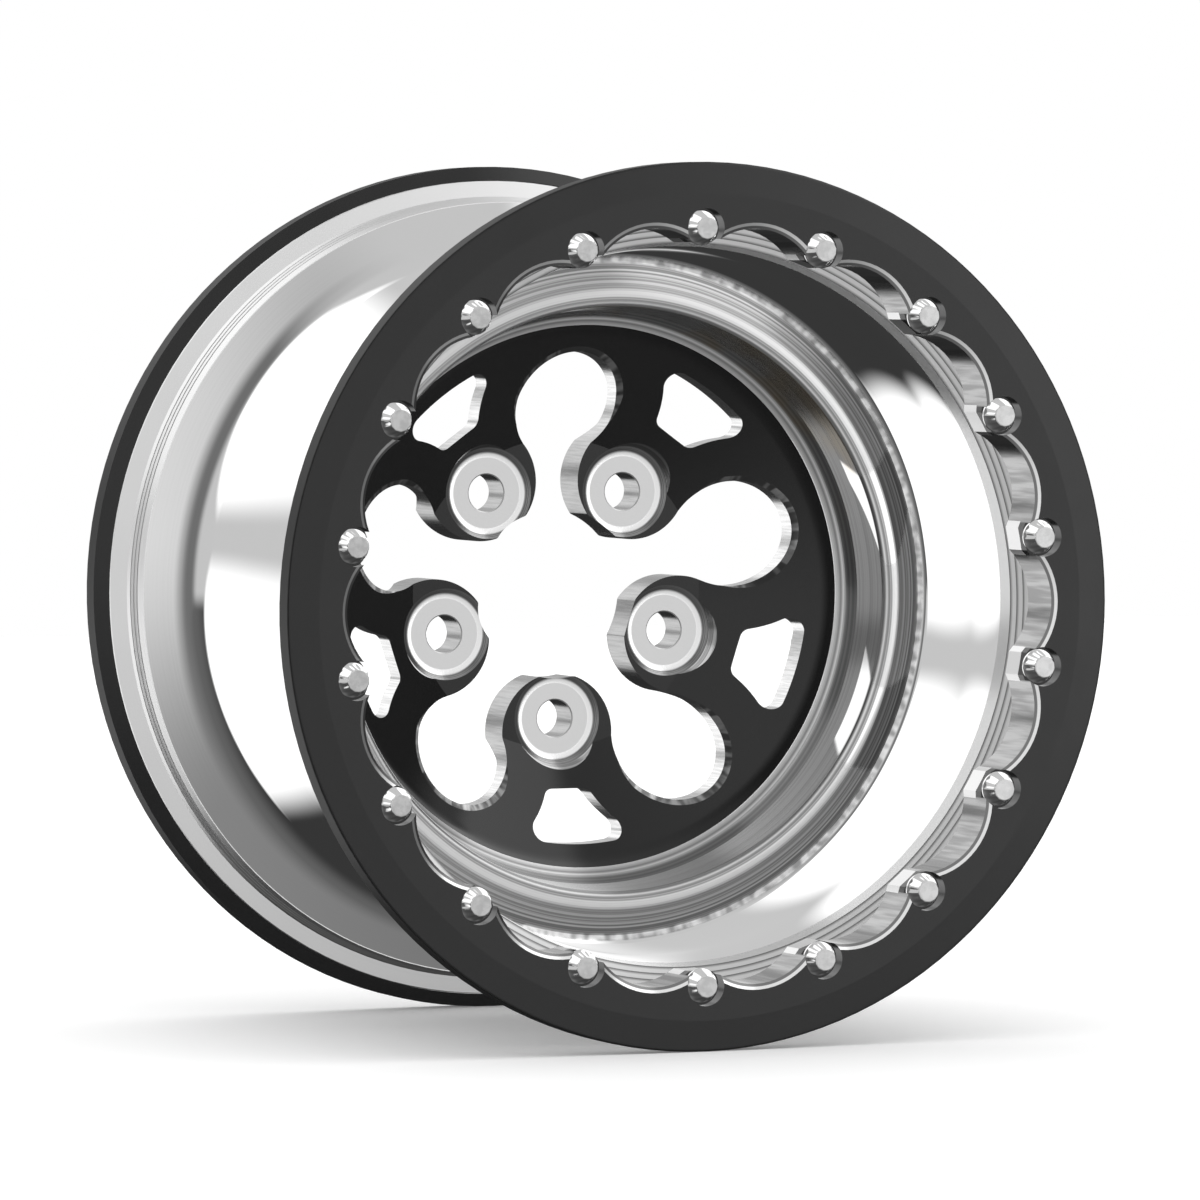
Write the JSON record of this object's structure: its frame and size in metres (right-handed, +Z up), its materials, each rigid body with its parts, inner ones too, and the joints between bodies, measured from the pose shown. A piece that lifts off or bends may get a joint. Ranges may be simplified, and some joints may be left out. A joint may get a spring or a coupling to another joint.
{
  "type": "car wheel",
  "caption": "Drag racing wheel with a black five-arm centre, deep polished barrel and bolted scalloped bead rings.",
  "frame": {"origin": "centre of the five lug holes on the hub mounting face", "axes": "+Y along the wheel's axis towards the car, -Y outwards, +Z up, as fitted on a car"},
  "size_m": [0.4125, 0.2826, 0.4126],
  "materials": {
    "black_centre": "gloss black anodised, machined recesses",
    "polished_barrel": "polished",
    "machined_ring": "machined bright",
    "black_ring": "satin black anodised, bright cut edges",
    "bright_bolt": "bright plated"
  },
  "bodies": {
    "root": {"wheel_centre": "black_centre", "outer_rim_half": "polished_barrel", "inner_rim_half": "polished_barrel", "outer_fixed_ring": "machined_ring", "inner_fixed_ring": "machined_ring", "outer_clamp_ring": "black_ring", "inner_clamp_ring": "black_ring", "outer_ring_bolts": "bright_bolt", "inner_ring_bolts": "bright_bolt"}
  },
  "joints": []
}
